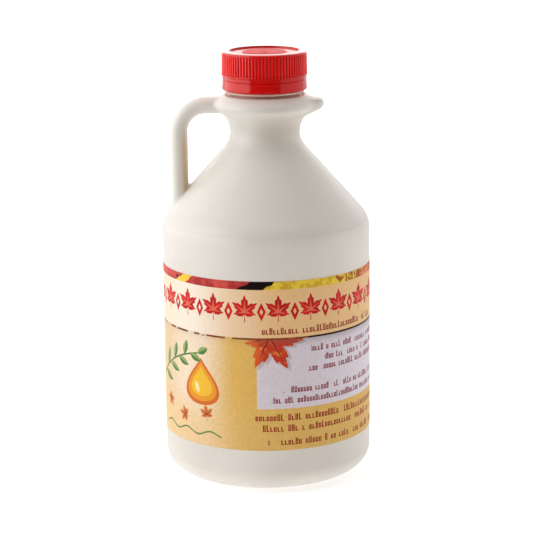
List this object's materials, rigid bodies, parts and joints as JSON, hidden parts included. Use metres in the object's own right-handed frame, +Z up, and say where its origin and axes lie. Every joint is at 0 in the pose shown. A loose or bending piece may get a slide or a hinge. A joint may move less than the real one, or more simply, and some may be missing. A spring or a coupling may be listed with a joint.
{
  "type": "maple_syrup_jug",
  "caption": "Round plastic syrup jug with a sloping shoulder, finger handle, pouring lip, ribbed screw cap and a paper label wrapped round its wall.",
  "frame": {"origin": "centre of the base, on the surface the jug stands on", "axes": "+Z up the jug to the cap; -X towards the handle and +X towards the pouring lip; -Y towards the printed front of the label"},
  "size_m": [0.0992, 0.0992, 0.2031],
  "materials": {
    "jug_plastic": "off-white blow-moulded polyethylene, soft satin with a faint waxy depth and a fine moulded texture",
    "cap_plastic": "red injection-moulded polypropylene, semi-gloss",
    "label_paper": "coated printed paper with a soft sheen, in cream, gold, red and pale lilac-grey fields"
  },
  "bodies": {
    "root": {"jug": "jug_plastic", "cap": "cap_plastic", "tamper_band": "cap_plastic", "label": "label_paper"}
  },
  "joints": []
}
